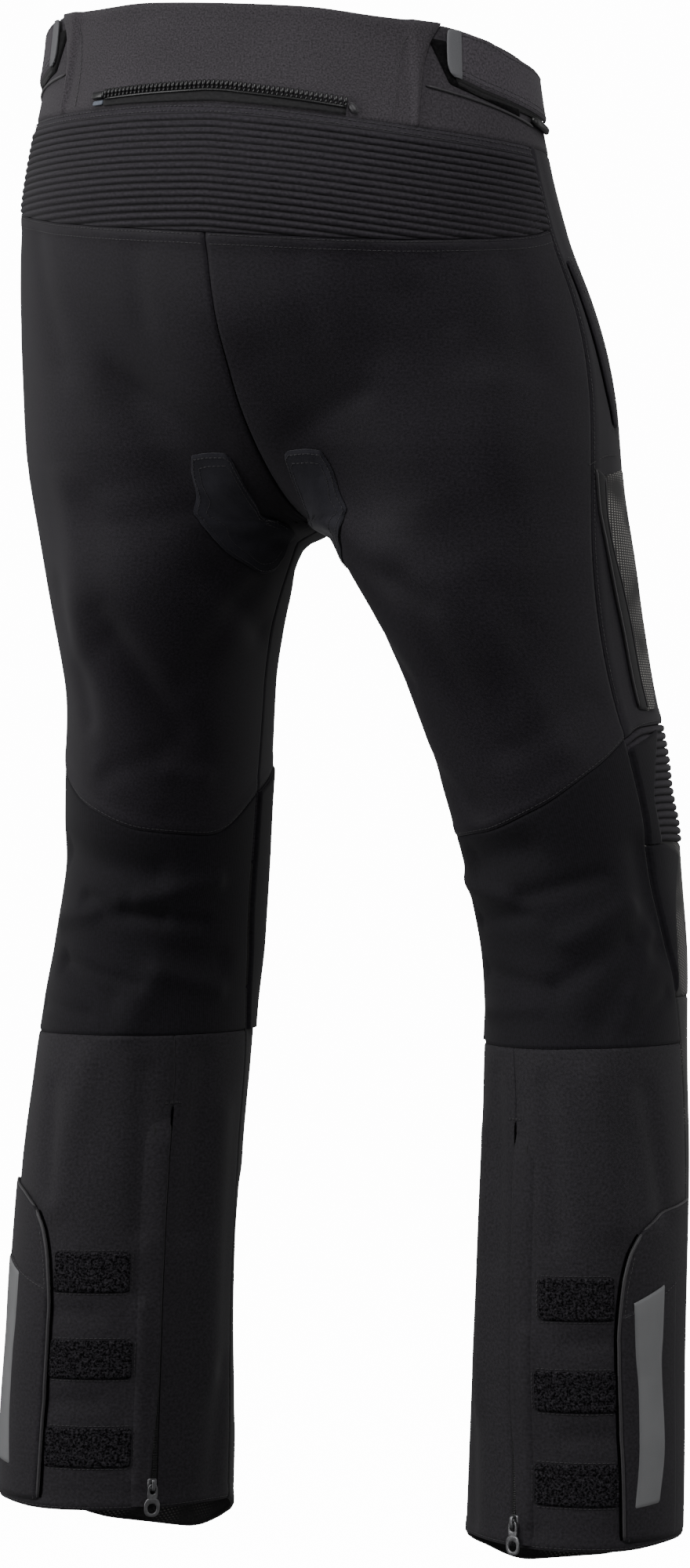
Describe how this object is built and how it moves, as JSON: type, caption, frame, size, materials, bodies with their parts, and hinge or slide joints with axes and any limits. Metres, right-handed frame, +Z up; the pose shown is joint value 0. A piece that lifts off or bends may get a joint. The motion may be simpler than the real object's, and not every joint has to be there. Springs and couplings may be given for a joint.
{
  "type": "motorcycle trousers",
  "caption": "Worn, hollow motorcycle touring trousers with a ribbed seat yoke, stretch knee backs, knee shields, calf zips and storm flaps.",
  "frame": {"origin": "the middle of the waist, where the wearer's body holds the garment up", "axes": "+Z up along the standing wearer, -Y to the wearer's front, +X to the wearer's left"},
  "size_m": [0.5045, 0.3603, 1.0613],
  "materials": {
    "shell": "black woven polyamide with a soft sheen",
    "calf_shell": "coarse charcoal woven polyamide",
    "stretch": "matt black ribbed stretch cloth",
    "band": "dark warm grey brushed cloth with light specks",
    "suede": "bluish black suede",
    "print": "black cloth with grey printed dots",
    "loop": "fuzzy black loop pile",
    "reflective": "mid grey reflective film on cloth",
    "moulded": "matt grey moulded rubber",
    "gloss_black": "glossy black",
    "metal": "satin light grey metal"
  },
  "bodies": {
    "garment": {"calf_back_left": "calf_shell", "calf_back_right": "calf_shell", "calf_inner_left": "calf_shell", "calf_inner_right": "calf_shell", "calf_zip_left": "loop", "calf_zip_right": "loop", "fly": "shell", "front_left": "shell", "front_right": "shell", "inner_patch_left": "suede", "inner_patch_right": "suede", "knee_accordion_left": "stretch", "knee_accordion_right": "stretch", "knee_back_left": "stretch", "knee_back_right": "stretch", "knee_shield_left": "print", "knee_shield_right": "print", "loop_patch_left_1": "loop", "loop_patch_left_2": "loop", "loop_patch_left_3": "loop", "loop_patch_right_1": "loop", "loop_patch_right_2": "loop", "loop_patch_right_3": "loop", "pocket_welt_left": "calf_shell", "pocket_welt_right": "calf_shell", "rear_zip": "gloss_black", "reflective_strip_left": "reflective", "reflective_strip_right": "reflective", "seat_left": "shell", "seat_right": "shell", "shin_left": "calf_shell", "shin_right": "calf_shell", "side_print_left": "print", "side_print_right": "print", "snap_button": "metal", "storm_flap_left": "calf_shell", "storm_flap_right": "calf_shell", "strap_buckle_left": "gloss_black", "strap_buckle_right": "gloss_black", "strap_end_left": "moulded", "strap_end_right": "moulded", "waist_loop_left": "loop", "waist_loop_right": "loop", "waist_side_left": "stretch", "waist_side_right": "stretch", "waist_strap_left": "stretch", "waist_strap_right": "stretch", "waistband_back": "band", "waistband_front_left": "band", "waistband_front_right": "band", "yoke_ribbed": "stretch", "zip_slider_left": "metal", "zip_slider_right": "metal"},
    "pull_left": {"zip_pull_left": "metal"},
    "pull_right": {"zip_pull_right": "metal"}
  },
  "joints": [
    {"name": "zip_tab_left", "type": "hinge", "parent": "garment", "child": "pull_left", "pos_m": [0.11954, -0.02251, -0.95275], "axis": [0.6888, 0.7231, 0.0516], "range_deg": [0, 150]},
    {"name": "zip_tab_right", "type": "hinge", "parent": "garment", "child": "pull_right", "pos_m": [-0.16078, 0.00403, -0.95271], "axis": [0.9497, -0.312, -0.0275], "range_deg": [0, 150]}
  ]
}
